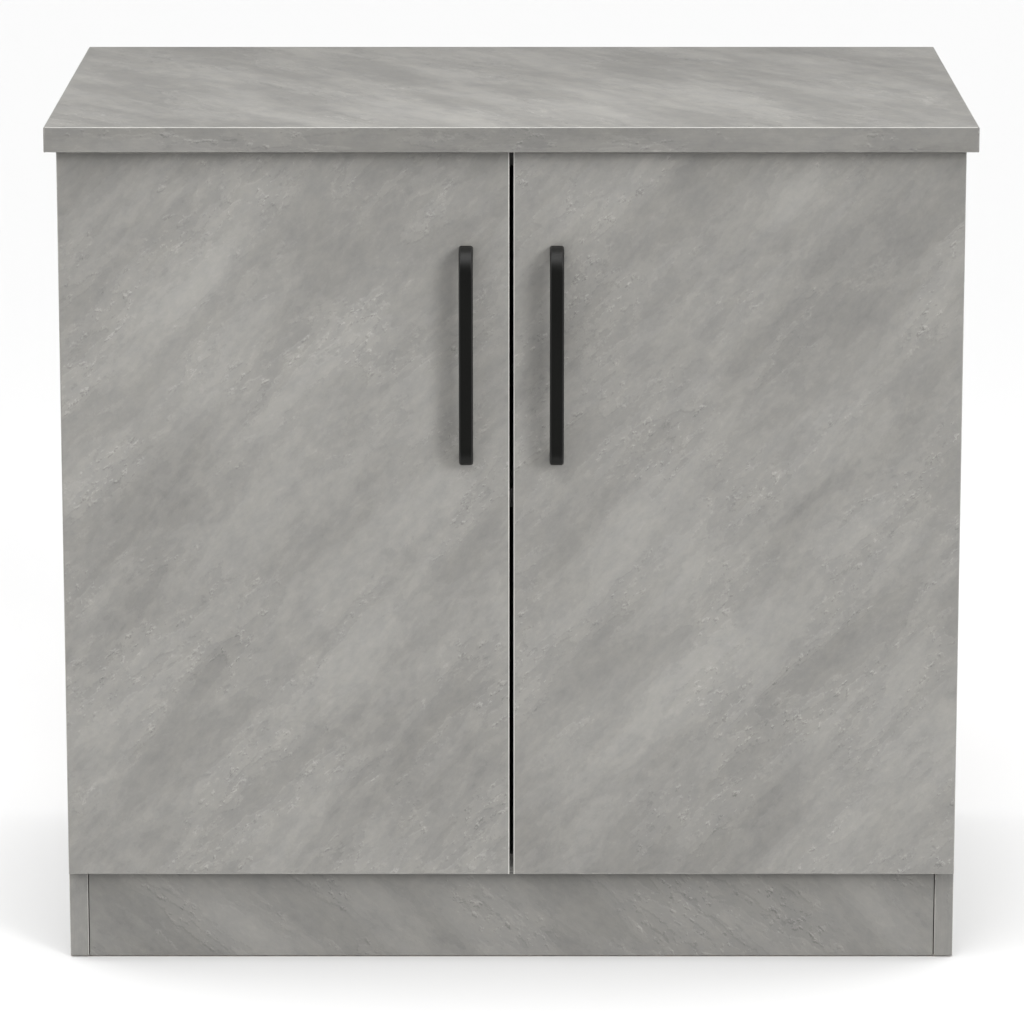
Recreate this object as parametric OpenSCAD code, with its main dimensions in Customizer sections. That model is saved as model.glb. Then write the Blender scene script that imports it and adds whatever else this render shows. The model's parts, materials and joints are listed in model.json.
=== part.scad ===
// Kitchen base cabinet with two doors, an overhanging worktop and a plinth.
// Millimetres. X runs to the right, Y to the back and Z up. The origin is on the floor, in the
// middle of the outline. The front, with the doors, faces -Y.

/* [Carcass] */
// Width over both side panels
carcass_w = 900; // [700:1:1200]
// Height from the floor to the top of the worktop
total_h = 860; // [780:1:960]
// Thickness of the side panels, bottom, rails, shelf and plinth
board_t = 19; // [16:0.5:22]
// Thickness of the hardboard back
back_t = 3; // [2.5:0.5:6]
// Distance from the back panel's edge to the outside of the carcass
back_inset = 1; // [0.5:0.5:3]
// Front to back size of each top rail
rail_w = 100; // [80:1:140]

/* [Worktop] */
// Front to back size of the worktop
worktop_d = 600; // [520:1:700]
// Thickness of the worktop
worktop_t = 25; // [20:0.5:40]
// How far the worktop stands out past each side panel
side_overhang = 9; // [2:0.5:20]
// How far the worktop stands out past the face of the doors
front_overhang = 20; // [5:1:40]
// Thickness of the worktop's edge bands
worktop_band_t = 1.6; // [1:0.1:3]
// Radius of the worktop's outer arrises
worktop_arris_r = 1.2; // [0.4:0.1:2.5]

/* [Edge bands] */
// Thickness of the edge bands on doors, sides, bottom, rail and shelf
band_t = 1.2; // [0.6:0.1:2]
// Radius of their outer arrises
arris_r = 0.9; // [0.3:0.1:1.8]

/* [Doors] */
// Thickness of the doors
door_t = 19; // [18:0.5:24]
// Gap between the two doors
middle_gap = 4; // [2:0.5:6]
// Distance from a door's outer edge to the outside of the carcass
side_reveal = 1.5; // [1:0.25:3]
// Gap between the doors and the worktop
top_gap = 3; // [2:0.5:6]
// Height of the doors' lower edge above the plinth board
door_rise = 4; // [2:0.5:8]
// Running gap between the back of a door and the carcass
door_clear = 2.5; // [2.3:0.1:4]
// Height of the clear bumpers
bumper_h = 2.2; // [1:0.1:2.2]
// Radius of the clear bumpers
bumper_r = 4.2; // [3:0.1:5]
// Distance from a door's inner edge to its bumpers
bumper_inset = 30; // [15:1:80]

/* [Handles] */
// Overall length of a handle
handle_l = 219; // [120:1:400]
// Width of the handle's bar, seen from the front
handle_w = 14; // [10:0.5:20]
// Thickness of the handle's bar, front to back
handle_t = 10; // [8:0.5:14]
// How far the handle stands out from the door
handle_reach = 32; // [26:0.5:45]
// Outer radius of the handle's bends
handle_bend_r = 22; // [14:0.5:24]
// Radius of the corners inside the handle
handle_corner_r = 3; // [1:0.5:8]
// Radius of the handle's outer arrises
handle_arris_r = 2.6; // [0.5:0.1:4]
// Distance from the door's inner edge to the middle of the handle
handle_inset = 43; // [30:1:80]
// Distance from the door's top edge to the top of the handle
handle_drop = 93; // [60:1:200]
// Length of thread in the handle's foot
handle_thread_l = 11; // [8:0.5:14]

/* [Plinth] */
// Height of the plinth board's top edge above the floor
plinth_h = 90; // [70:1:130]
// Gap between the plinth board and each side panel
plinth_gap = 1; // [0.5:0.25:2]
// Gap between the plinth board and the floor
plinth_lift = 1.5; // [1:0.25:4]
// How far the plinth board lies behind the front edge of the sides
plinth_recess = 1; // [0.5:0.25:20]
// Number of angle brackets behind the plinth
bracket_count = 3; // [2:1:4]
// Distance from the side panels to the outer brackets
bracket_inset = 215; // [60:5:260]
// Length of each leg of a bracket
bracket_leg = 30; // [22:1:40]
// Distance from a bracket's corner to its screws
bracket_screw_at = 18; // [14:0.5:18]
// Width of a bracket
bracket_w = 20; // [14:1:30]
// Thickness of a bracket
bracket_t = 2; // [1.5:0.25:3]
// Height of the floor glides under the side panels
glide_h = 1.5; // [1:0.25:3]
// Radius of the floor glides
glide_r = 7.5; // [5:0.5:7.5]
// Distance from the ends of a side panel to its glides
glide_inset = 45; // [30:1:90]

/* [Shelf] */
// Distance from the front of the carcass to the shelf
shelf_setback = 20; // [10:1:60]
// Gap between the shelf and each side panel
shelf_gap = 0.8; // [0.4:0.1:2]
// Gap between the shelf and the back panel
shelf_rear_gap = 2; // [1:0.5:5]
// Number of holes in each row of shelf holes
row_count = 13; // [7:2:13]
// Pitch of the rows of holes
row_pitch = 32; // [25:1:32]
// Distance from the front and rear edges of the sides to the rows
row_setback = 37; // [34:1:50]
// Radius of a shelf pin
pin_r = 2.5; // [2:0.25:3]
// Depth of a shelf hole
row_depth = 11; // [8:0.5:13]
// Length of the lug under the shelf
lug_l = 12; // [9:0.5:16]
// Thickness of the round collar against the side panel
collar_t = 1; // [0.8:0.1:1.5]

/* [Hinges] */
// Distance from the ends of a door to its hinges
hinge_inset = 100; // [80:1:140]
// Outer radius of a hinge cup
cup_r = 17.5; // [16.5:0.5:18]
// Depth of a hinge cup
cup_depth = 14.8; // [14.6:0.1:15.4]
// Wall thickness of a hinge cup
cup_wall = 0.8; // [0.6:0.1:0.9]
// Distance from the door's outer edge to the cup
cup_edge = 3; // [3:0.25:3.5]
// Distance from the door's outer edge to the hinge pin
pivot_u = 7.5; // [7.4:0.1:8]
// Depth of the hinge pin behind the back of the door
pivot_v = 11.6; // [11.5:0.05:11.7]
// Radius of the hinge pin
hinge_pin_r = 1.1; // [0.9:0.05:1.2]
// Running clearance round the hinge pin
pin_clear = 0.06; // [0.03:0.01:0.1]
// Thickness of the hinge arm's sheet
arm_t = 2.4; // [2:0.1:2.6]
// Half width of the goose neck that reaches into the cup
neck_half_w = 5; // [4:0.25:5.5]
// Half width of the channel behind the neck
arm_half_w = 7; // [6.5:0.25:8]
// Length of the arm behind the front of the carcass
arm_l = 58; // [56:1:70]
// Spacing of the two screws in a mounting plate
plate_pitch = 32; // [28:1:36]

/* [Fixings] */
// Distance from the side panel to the centre of a cam lock
cam_reach = 24; // [22:1:34]
// Radius of a cam lock
cam_r = 7.5; // [6:0.25:8]
// Distance from a board's ends to its cam locks
cam_inset = 50; // [40:1:80]
// Distance from a top rail's outer edge to its cam locks
rail_cam_inset = 30; // [24:1:40]
// Distance from a top rail's outer edge to its dowels
rail_dowel_inset = 70; // [56:1:72]
// Distance from a cam lock to the dowel beside it in the bottom panel
dowel_spacing = 32; // [20:1:40]
// Radius of a dowel
dowel_r = 4; // [3:0.25:4]
// Length of a dowel
dowel_l = 30; // [26:1:34]
// Clearance round dowels, screws, pins and nails
fit_clear = 0.05; // [0.03:0.01:0.1]
// Length of screw that enters the worktop
worktop_bite = 15; // [10:1:16]
// Distance from the side panels to the outer worktop screws
top_screw_inset = 110; // [60:5:200]
// Radius of the nails in the back
nail_r = 0.8; // [0.6:0.1:1.2]
// Length of the nails in the back
nail_l = 20; // [14:1:26]
// Distance from the inner corners of the carcass to the outer nails in each row
nail_inset = 40; // [20:1:60]

/* [Hidden] */
$fn = 48;

// How far a hole starts outside the face that it opens, and its room past the tip of what it holds
past = 1;
tip = 0.5;
// Clearance round a screw that passes freely through a board
loose_clear = 0.2;

// Depths along Y
total_d = worktop_d + max(0, handle_reach - front_overhang);
y_back = total_d / 2;
y_worktop = y_back - worktop_d;
y_door_face = y_worktop + front_overhang;
y_door_back = y_door_face + door_t;
y_carcass = y_door_back + door_clear;
y_rear = y_back - back_t;

// Heights along Z
z_worktop = total_h - worktop_t;
z_bottom = plinth_h + board_t;
z_rail = z_worktop - board_t;
z_door_low = plinth_h + door_rise;
z_door_high = z_worktop - top_gap;
z_hinges = [z_door_low + hinge_inset, z_door_high - hinge_inset];
z_handle_high = z_door_high - handle_drop;
z_handle_low = z_handle_high - handle_l;
z_row = (z_hinges[0] + z_hinges[1]) / 2 - row_pitch * (row_count - 1) / 2;
z_shelf_pin = z_row + row_pitch * (row_count - 1) / 2;
z_shelf = z_shelf_pin + pin_r;

// Widths along X
x_out = carcass_w / 2;
x_in = x_out - board_t;
x_mid_side = x_out - board_t / 2;
x_door_out = x_out - side_reveal;
x_door_in = middle_gap / 2;
x_handle = x_door_in + handle_inset;
worktop_w = carcass_w + 2 * side_overhang;
side_r = min(arris_r, band_t * 0.9);
top_r = min(worktop_arris_r, worktop_band_t * 0.9);

// Joints between the boards: [y, z of the board's middle, side that the cam is let in from]
z_mid_bottom = z_bottom - board_t / 2;
z_mid_rail = z_worktop - board_t / 2;
bottom_dowel_inset = cam_inset + dowel_spacing;
cam_joints = [
    [y_carcass + cam_inset, z_mid_bottom, -1],
    [y_rear - cam_inset, z_mid_bottom, -1],
    [y_carcass + rail_cam_inset, z_mid_rail, 1],
    [y_rear - rail_cam_inset, z_mid_rail, 1]
];
dowel_joints = [
    [y_carcass + bottom_dowel_inset, z_mid_bottom],
    [y_rear - bottom_dowel_inset, z_mid_bottom],
    [y_carcass + rail_dowel_inset, z_mid_rail],
    [y_rear - rail_dowel_inset, z_mid_rail]
];
cam_floor = 5.5;
cam_h = board_t - cam_floor;
bolt_thread_r = 2.5;
bolt_thread_l = 11;
bolt_shank_r = 3;
bolt_neck_r = 1.8;
bolt_head_r = 3;
bolt_head_l = 2.6;
bolt_hole_r = 4;
bolt_head_clear = 0.4;
bolt_shoulder_gap = 1;
cam_slot_l = 9;
cam_slot_w = 1.6;
cam_slot_depth = 2;
dowel_in_side = 11;

// Screws through the rails into the worktop
top_screw_r = 2;
top_head_r = 4;
top_head_h = 2.4;
top_screw_x = [-1, 0, 1] * (x_in - top_screw_inset);
top_screw_y = [y_carcass + rail_w / 2, y_rear - rail_w / 2];

// Nails in the back, five in each row: [x, z]
nail_head_r = 1.7;
nail_head_h = 0.8;
nail_steps = [-2:2];
nail_head_sink = 0.2;
nail_x_step = (x_in - nail_inset) / 2;
nail_z_mid = (z_bottom + z_rail) / 2;
nail_z_step = (z_rail - z_bottom - 2 * nail_inset) / 4;
nails = concat(
    [for (s = [-1, 1], i = nail_steps) [s * x_mid_side, nail_z_mid + i * nail_z_step]],
    [for (z = [z_mid_bottom, z_mid_rail], i = nail_steps) [i * nail_x_step, z]]
);

// Plinth
y_plinth = y_carcass + plinth_recess;
y_plinth_back = y_plinth + board_t;
bracket_x = [for (i = [0 : bracket_count - 1])
    (x_in - bracket_inset) * (2 * i / (bracket_count - 1) - 1)];
bracket_screw_r = 1.75;
bracket_screw_l = 14;
bracket_head_r = 3.5;
bracket_head_h = 1.5;

// Floor glides
glide_y = [y_carcass + glide_inset, y_rear - glide_inset];
glide_spike_r = 1.5;
glide_spike_l = 12;

// Hinges, in the door's own plan: u from the outer edge inwards, v from its back into the carcass
cup_u = cup_edge + cup_r;
cup_in_r = cup_r - cup_wall;
flange_t = 1;
flange_lip = 2.5;
cup_screw_behind = 9.5;
cup_screw_u = cup_u + cup_screw_behind;
cup_screw_z = 22.5;
cup_screw_r = 1.8;
cup_screw_l = 12;
cup_head_r = 3.5;
cup_head_h = 1.3;
wing_r = 6;
cup_gap = 0.1;
hinge_gap = 0.3;
jaw_reach = 3.5;
hinge_pin_half_l = sqrt(pow(cup_r, 2) - pow(cup_u - pivot_u + hinge_pin_r, 2)) - hinge_gap;
eye_r = min(2 * hinge_pin_r, cup_depth - cup_wall - pivot_v - hinge_gap);
panel_u = x_door_out - x_in;
panel_v = door_clear;
neck_u = 22;
web_u = 28;
web_from = 12;
web_v = panel_v + web_from;
arm_end_v = panel_v + arm_l;
neck_bevel = 1.5;
neck_rise = 3;
web_lap = 2;
inner_bevel = 1;
cheek_t = 1.6;
cheek_lap = 0.5;
cheek_slope = 9;
cheek_drop = 2;
plate_t = 2;
cheek_gap = 0.5;
cheek_u = panel_u + plate_t + cheek_gap;
plate_v = panel_v + row_setback;
cheek_clear = 0.2;
ridge_half_w = arm_half_w - cheek_t - cheek_clear;
ridge_from = 18;
ridge_front_v = panel_v + ridge_from;
ridge_tail = 1;
ridge_back_v = arm_end_v - ridge_tail;
wing_margin = 7;
wing_half_w = plate_pitch / 2 + wing_margin;
wing_half_l = 6.5;
plate_screw_r = 2.5;
plate_screw_l = 12;
plate_head_r = 4.2;
plate_head_h = 1.6;
arm_screw_front = 25;
arm_screw_tail = 9;
arm_screw_v = [panel_v + arm_screw_front, arm_end_v - arm_screw_tail];
arm_screw_r = 2;
arm_head_r = 3.6;
arm_head_h = 2;
arm_screw_l = 8;

// Handles
handle_screw_r = 2;
handle_head_r = 4.5;
handle_head_h = 2.4;
handle_screw_tip = 1;
foot_mid = handle_t / 2;

// Colours
decor = [0.60, 0.60, 0.58];
decor_edge = [0.66, 0.66, 0.64];
hardboard = [0.42, 0.34, 0.26];
steel = [0.72, 0.73, 0.74];
zinc = [0.60, 0.60, 0.62];
black = [0.09, 0.09, 0.08];
beech = [0.80, 0.66, 0.46];
nylon = [0.85, 0.85, 0.82];
clear_rubber = [0.90, 0.92, 0.93];

// Shared shapes

// A strip of edge band along +Z, standing t out in +X and w wide in +Y, its outer arrises rounded
module band(l, t, w, r) {
    linear_extrude(l) intersection() {
        square([t, w]);
        union() {
            square([t - r, w]);
            translate([0, r]) square([t, w - 2 * r]);
            for (y = [r, w - r]) translate([t - r, y]) circle(r);
        }
    }
}

// A band along X on a front edge: it stands out in -Y and hangs down from its top
module front_band(x0, x1, y, z_top, t, w, r) {
    translate([x0, y, z_top]) rotate([-90, 0, 0]) rotate([0, 90, 0]) band(x1 - x0, t, w, r);
}

// A block from its low corner to its high corner
module block(low, high) {
    translate(low) cube(high - low);
}

// A round pin or hole along X, Y or Z from point p, running the signed length l
module rod_x(p, l, r) {
    translate(p) rotate([0, l > 0 ? 90 : -90, 0]) cylinder(h = abs(l), r = r);
}

module rod_y(p, l, r) {
    translate(p) rotate([l > 0 ? -90 : 90, 0, 0]) cylinder(h = abs(l), r = r);
}

module rod_z(p, l, r) {
    translate(l > 0 ? p : p + [0, 0, l]) cylinder(h = abs(l), r = r);
}

// The same as a hole, which opens a little outside point p
module hole_x(p, l, r) {
    rod_x(p - [sign(l) * past, 0, 0], l + sign(l) * past, r);
}

module hole_y(p, l, r) {
    rod_y(p - [0, sign(l) * past, 0], l + sign(l) * past, r);
}

module hole_z(p, l, r) {
    rod_z(p - [0, 0, sign(l) * past], l + sign(l) * past, r);
}

module both_sides() {
    children();
    mirror([1, 0, 0]) children();
}

// Turns a shape made for the right half into the one for the side s, -1 left or 1 right
module on_side(s) {
    if (s > 0) children();
    else mirror([1, 0, 0]) children();
}

// Places a shape from the door's plan (u, v, z) at the right door
module at_door() {
    translate([x_door_out, y_door_back, 0]) mirror([1, 0, 0]) children();
}

// Joinery

module cam_bolt(j) {
    rod_x([x_in, j[0], j[1]], bolt_thread_l, bolt_thread_r);
    rod_x([x_in, j[0], j[1]], -(cam_reach - cam_r - bolt_shoulder_gap), bolt_shank_r);
    rod_x([x_in, j[0], j[1]], -cam_reach, bolt_neck_r);
    rod_x([x_in - cam_reach + bolt_head_l / 2, j[0], j[1]], -bolt_head_l, bolt_head_r);
}

module cam_bolt_cut(j) {
    hole_x([x_in, j[0], j[1]], bolt_thread_l + tip, bolt_thread_r + fit_clear);
}

// Where the cam lock's open face lies, and the way into the board from there
function cam_face(j) = j[1] + j[2] * board_t / 2;

module cam_lock(j) {
    difference() {
        rod_z([x_in - cam_reach, j[0], cam_face(j)], -j[2] * cam_h, cam_r - fit_clear);
        rod_x([x_in, j[0], j[1]], -(cam_reach + bolt_head_l), bolt_head_r + bolt_head_clear);
        for (a = [0, 90]) translate([x_in - cam_reach, j[0], cam_face(j)]) rotate([0, 0, a])
            cube([cam_slot_l, cam_slot_w, 2 * cam_slot_depth], center = true);
    }
}

module cam_lock_cut(j) {
    hole_z([x_in - cam_reach, j[0], cam_face(j)], -j[2] * cam_h, cam_r);
    hole_x([x_in, j[0], j[1]], -cam_reach, bolt_hole_r);
}

module dowel(j) {
    rod_x([x_in + dowel_in_side - tip, j[0], j[1]], -dowel_l, dowel_r);
}

module dowel_cut(j) {
    rod_x([x_in + dowel_in_side, j[0], j[1]], -(dowel_l + 2 * tip), dowel_r + fit_clear);
}

// The holes in both ends of a board whose middle lies at height z
module board_end_cuts(z) {
    both_sides() {
        for (j = cam_joints) if (j[1] == z) cam_lock_cut(j);
        for (j = dowel_joints) if (j[1] == z) dowel_cut(j);
    }
}

module nail_cuts() {
    for (n = nails) hole_y([n[0], y_back, n[1]], -(nail_l + tip), nail_r + fit_clear);
}

module top_screw_cuts() {
    for (x = top_screw_x, y = top_screw_y) hole_z([x, y, z_rail], board_t + past, top_screw_r + loose_clear);
}

// Worktop

module worktop() {
    color(decor) difference() {
        block([-worktop_w / 2 + worktop_band_t, y_worktop + worktop_band_t, z_worktop],
            [worktop_w / 2 - worktop_band_t, y_back, total_h]);
        for (x = top_screw_x, y = top_screw_y)
            hole_z([x, y, z_worktop], worktop_bite + tip, top_screw_r + fit_clear);
    }
}

module worktop_front_band() {
    color(decor_edge) front_band(-worktop_w / 2 + worktop_band_t, worktop_w / 2 - worktop_band_t,
        y_worktop + worktop_band_t, total_h, worktop_band_t, worktop_t, top_r);
}

module worktop_end_band(s) {
    color(decor_edge) on_side(s)
        translate([worktop_w / 2 - worktop_band_t, y_worktop, total_h]) rotate([-90, 0, 0])
        band(worktop_d, worktop_band_t, worktop_t, top_r);
}

module worktop_screws() {
    color(steel) for (x = top_screw_x, y = top_screw_y) {
        rod_z([x, y, z_rail], board_t + worktop_bite, top_screw_r);
        rod_z([x, y, z_rail], -top_head_h, top_head_r);
    }
}

// Carcass

module side_panel(s) {
    color(decor) on_side(s) difference() {
        block([x_in, y_carcass + band_t, glide_h], [x_out, y_rear, z_worktop]);
        for (j = cam_joints) cam_bolt_cut(j);
        for (j = dowel_joints) dowel_cut(j);
        for (y = [y_carcass + row_setback, y_rear - row_setback], i = [0 : row_count - 1])
            hole_x([x_in, y, z_row + i * row_pitch], row_depth, pin_r + fit_clear);
        for (z = z_hinges, e = [-1, 1])
            hole_x([x_in, y_carcass + row_setback, z + e * plate_pitch / 2],
                plate_screw_l, plate_screw_r + fit_clear);
        for (y = glide_y)
            hole_z([x_mid_side, y, glide_h], glide_spike_l + tip, glide_spike_r + fit_clear);
        nail_cuts();
    }
}

module side_band(s) {
    color(decor_edge) on_side(s) translate([x_in, y_carcass + band_t, glide_h])
        rotate([0, 0, -90]) band(z_worktop - glide_h, band_t, board_t, side_r);
}

module bottom_panel() {
    color(decor) difference() {
        block([-x_in, y_carcass + band_t, plinth_h], [x_in, y_rear, z_bottom]);
        board_end_cuts(z_mid_bottom);
        nail_cuts();
        for (x = bracket_x)
            hole_z([x, y_plinth_back + bracket_screw_at, plinth_h],
                bracket_screw_l - bracket_t + tip, bracket_screw_r + fit_clear);
    }
}

module bottom_panel_band() {
    color(decor_edge) front_band(-x_in, x_in, y_carcass + band_t, z_bottom, band_t, board_t, side_r);
}

module front_rail() {
    color(decor) difference() {
        block([-x_in, y_carcass + band_t, z_rail], [x_in, y_carcass + rail_w, z_worktop]);
        board_end_cuts(z_mid_rail);
        top_screw_cuts();
    }
}

module front_rail_band() {
    color(decor_edge) front_band(-x_in, x_in, y_carcass + band_t, z_worktop, band_t, board_t, side_r);
}

module rear_rail() {
    color(decor) difference() {
        block([-x_in, y_rear - rail_w, z_rail], [x_in, y_rear, z_worktop]);
        board_end_cuts(z_mid_rail);
        top_screw_cuts();
        nail_cuts();
    }
}

module back_panel() {
    color(hardboard) difference() {
        block([-x_out + back_inset, y_rear, plinth_h + back_inset],
            [x_out - back_inset, y_back, z_worktop - back_inset]);
        nail_cuts();
        for (n = nails) hole_y([n[0], y_back, n[1]], -nail_head_h, nail_head_r + fit_clear);
    }
}

module back_nails() {
    color(steel) for (n = nails) {
        rod_y([n[0], y_back - nail_head_h, n[1]], nail_head_h, nail_head_r);
        rod_y([n[0], y_back - nail_head_sink, n[1]], -(nail_l - nail_head_sink), nail_r);
    }
}

module cam_bolts() {
    color(steel) both_sides() for (j = cam_joints) cam_bolt(j);
}

module cam_locks() {
    color(zinc) both_sides() for (j = cam_joints) cam_lock(j);
}

module dowels() {
    color(beech) both_sides() for (j = dowel_joints) dowel(j);
}

// Shelf

module shelf() {
    color(decor) block([-x_in + shelf_gap, y_carcass + shelf_setback + band_t, z_shelf],
        [x_in - shelf_gap, y_rear - shelf_rear_gap, z_shelf + board_t]);
}

module shelf_band() {
    color(decor_edge) front_band(-x_in + shelf_gap, x_in - shelf_gap,
        y_carcass + shelf_setback + band_t, z_shelf + board_t, band_t, board_t, side_r);
}

// A pin in the row of holes with a flat lug that the shelf lies on
module shelf_supports() {
    color(steel) both_sides() for (y = [y_carcass + row_setback, y_rear - row_setback]) {
        rod_x([x_in - collar_t, y, z_shelf_pin], row_depth + collar_t - tip, pin_r);
        difference() {
            rod_x([x_in, y, z_shelf_pin], -collar_t, 2 * pin_r);
            block([x_in - collar_t - past, y - 3 * pin_r, z_shelf],
                [x_in + past, y + 3 * pin_r, z_shelf + 3 * pin_r]);
        }
        block([x_in - lug_l, y - 2 * pin_r, z_shelf - pin_r],
            [x_in - collar_t / 2, y + 2 * pin_r, z_shelf]);
    }
}

// Plinth and floor

module plinth_board() {
    color(decor) difference() {
        block([-x_in + plinth_gap, y_plinth, plinth_lift], [x_in - plinth_gap, y_plinth_back, plinth_h]);
        for (x = bracket_x)
            hole_y([x, y_plinth_back, plinth_h - bracket_screw_at],
                -(bracket_screw_l - bracket_t + tip), bracket_screw_r + fit_clear);
    }
}

module plinth_brackets() {
    color(steel) for (x = bracket_x) difference() {
        union() {
            block([x - bracket_w / 2, y_plinth_back, plinth_h - bracket_leg],
                [x + bracket_w / 2, y_plinth_back + bracket_t, plinth_h]);
            block([x - bracket_w / 2, y_plinth_back, plinth_h - bracket_t],
                [x + bracket_w / 2, y_plinth_back + bracket_leg, plinth_h]);
        }
        hole_y([x, y_plinth_back, plinth_h - bracket_screw_at], bracket_t + past,
            bracket_screw_r + 2 * fit_clear);
        hole_z([x, y_plinth_back + bracket_screw_at, plinth_h], -(bracket_t + past),
            bracket_screw_r + 2 * fit_clear);
    }
}

module plinth_screws() {
    color(steel) for (x = bracket_x) {
        rod_y([x, y_plinth_back + bracket_t, plinth_h - bracket_screw_at],
            -bracket_screw_l, bracket_screw_r);
        rod_y([x, y_plinth_back + bracket_t, plinth_h - bracket_screw_at],
            bracket_head_h, bracket_head_r);
        rod_z([x, y_plinth_back + bracket_screw_at, plinth_h - bracket_t],
            bracket_screw_l, bracket_screw_r);
        rod_z([x, y_plinth_back + bracket_screw_at, plinth_h - bracket_t],
            -bracket_head_h, bracket_head_r);
    }
}

module floor_glides() {
    color(nylon) both_sides() for (y = glide_y) {
        rod_z([x_mid_side, y, 0], glide_h, glide_r);
        rod_z([x_mid_side, y, glide_h / 2], glide_h / 2 + glide_spike_l, glide_spike_r);
    }
}

// Hinges

// The mounting plate, screwed to the inside of the side panel, with a ridge that carries the arm
module hinge_plate(z) {
    translate([panel_u, 0, z]) difference() {
        union() {
            block([0, plate_v - wing_half_l, -wing_half_w], [plate_t, plate_v + wing_half_l, wing_half_w]);
            block([0, ridge_front_v, -arm_half_w], [plate_t, ridge_back_v, arm_half_w]);
            block([0, ridge_front_v, -ridge_half_w],
                [web_u - panel_u, ridge_back_v, ridge_half_w]);
        }
        for (e = [-1, 1])
            hole_x([0, plate_v, e * plate_pitch / 2], plate_t + past, plate_screw_r + 2 * fit_clear);
        for (v = arm_screw_v) hole_x([web_u - panel_u, v, 0], -arm_screw_l, arm_screw_r + fit_clear);
    }
}

module hinge_plates(s) {
    color(zinc) on_side(s) at_door() for (z = z_hinges) hinge_plate(z);
}

module hinge_plate_screws(s) {
    color(steel) on_side(s) at_door() for (z = z_hinges, e = [-1, 1]) {
        rod_x([panel_u + plate_t, plate_v, z + e * plate_pitch / 2],
            -(plate_screw_l + plate_t - tip), plate_screw_r);
        rod_x([panel_u + plate_t, plate_v, z + e * plate_pitch / 2], plate_head_h, plate_head_r);
    }
}

// The arm: an eye on the hinge pin, a goose neck out of the cup, and a channel over the ridge
module hinge_arm(z) {
    h = arm_t / 2;
    v = -pivot_v;
    difference() {
        union() {
            translate([0, 0, z - neck_half_w]) linear_extrude(2 * neck_half_w) {
                translate([pivot_u, v]) circle(eye_r);
                polygon([
                    [pivot_u, v - h], [neck_u + arm_t - neck_bevel, v - h],
                    [neck_u + arm_t, v - h + neck_bevel], [neck_u + arm_t, panel_v + neck_rise],
                    [web_u + arm_t, web_v], [web_u + arm_t, web_v + web_lap],
                    [web_u, web_v + web_lap], [web_u, web_v + inner_bevel],
                    [neck_u, panel_v + neck_rise + inner_bevel], [neck_u, v + h + inner_bevel],
                    [neck_u - inner_bevel, v + h], [pivot_u, v + h]
                ]);
            }
            block([web_u, web_v, z - arm_half_w], [web_u + arm_t, arm_end_v, z + arm_half_w]);
            for (e = [-1, 1])
                translate([0, 0, z + e * (arm_half_w - cheek_t / 2) - cheek_t / 2])
                linear_extrude(cheek_t) polygon([
                    [web_u + cheek_lap, web_v], [web_u + arm_t, web_v], [web_u + arm_t, arm_end_v],
                    [cheek_u, arm_end_v], [cheek_u, web_v + cheek_slope], [web_u - cheek_drop, web_v]
                ]);
        }
        hole_z([pivot_u, v, z - neck_half_w], 2 * neck_half_w + past, hinge_pin_r + pin_clear);
        for (a = arm_screw_v) hole_x([web_u, a, z], arm_t + past, arm_screw_r + 2 * fit_clear);
    }
}

module hinge_arms(s) {
    color(steel) on_side(s) at_door() for (z = z_hinges) hinge_arm(z);
}

module hinge_arm_screws(s) {
    color(steel) on_side(s) at_door() for (z = z_hinges, v = arm_screw_v) {
        rod_x([web_u + arm_t, v, z], -(arm_screw_l + arm_t - tip), arm_screw_r);
        rod_x([web_u + arm_t, v, z], arm_head_h, arm_head_r);
    }
}

// The outline of the cup's flange with its two wings, seen along the cup's axis
module flange_outline() {
    intersection() {
        union() {
            translate([cup_u, 0]) circle(cup_r + flange_lip);
            for (e = [-1, 1]) translate([cup_screw_u, e * cup_screw_z]) circle(wing_r);
            translate([cup_screw_u - wing_r, -cup_screw_z]) square([2 * wing_r, 2 * cup_screw_z]);
        }
        translate([cup_edge, -2 * cup_screw_z]) square([4 * cup_r, 4 * cup_screw_z]);
    }
}

// The cup, with a jaw on each side of the arm's eye that holds the hinge pin
module hinge_cup(z) {
    translate([0, 0, z]) difference() {
        union() {
            rod_y([cup_u, 0, 0], -cup_depth, cup_r);
            translate([0, flange_t, 0]) rotate([90, 0, 0]) linear_extrude(flange_t) flange_outline();
        }
        difference() {
            rod_y([cup_u, -cup_depth + cup_wall, 0], cup_depth + flange_t, cup_in_r);
            for (e = [0, 1]) mirror([0, 0, e])
                block([0, -cup_depth, neck_half_w + hinge_gap],
                    [pivot_u + jaw_reach, -pivot_v + jaw_reach, cup_r]);
        }
        rod_z([pivot_u, -pivot_v, -cup_r], 2 * cup_r, hinge_pin_r + fit_clear);
        for (e = [-1, 1])
            hole_y([cup_screw_u, 0, e * cup_screw_z], flange_t + past, cup_screw_r + 2 * fit_clear);
    }
}

module hinge_cups(s) {
    color(steel) on_side(s) at_door() for (z = z_hinges) hinge_cup(z);
}

module hinge_cup_screws(s) {
    color(steel) on_side(s) at_door() for (z = z_hinges, e = [-1, 1]) {
        rod_y([cup_screw_u, flange_t, z + e * cup_screw_z], -cup_screw_l, cup_screw_r);
        rod_y([cup_screw_u, flange_t, z + e * cup_screw_z], cup_head_h, cup_head_r);
    }
}

module hinge_pins(s) {
    color(steel) on_side(s) at_door() for (z = z_hinges)
        rod_z([pivot_u, -pivot_v, z - hinge_pin_half_l], 2 * hinge_pin_half_l, hinge_pin_r);
}

// Doors

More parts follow.
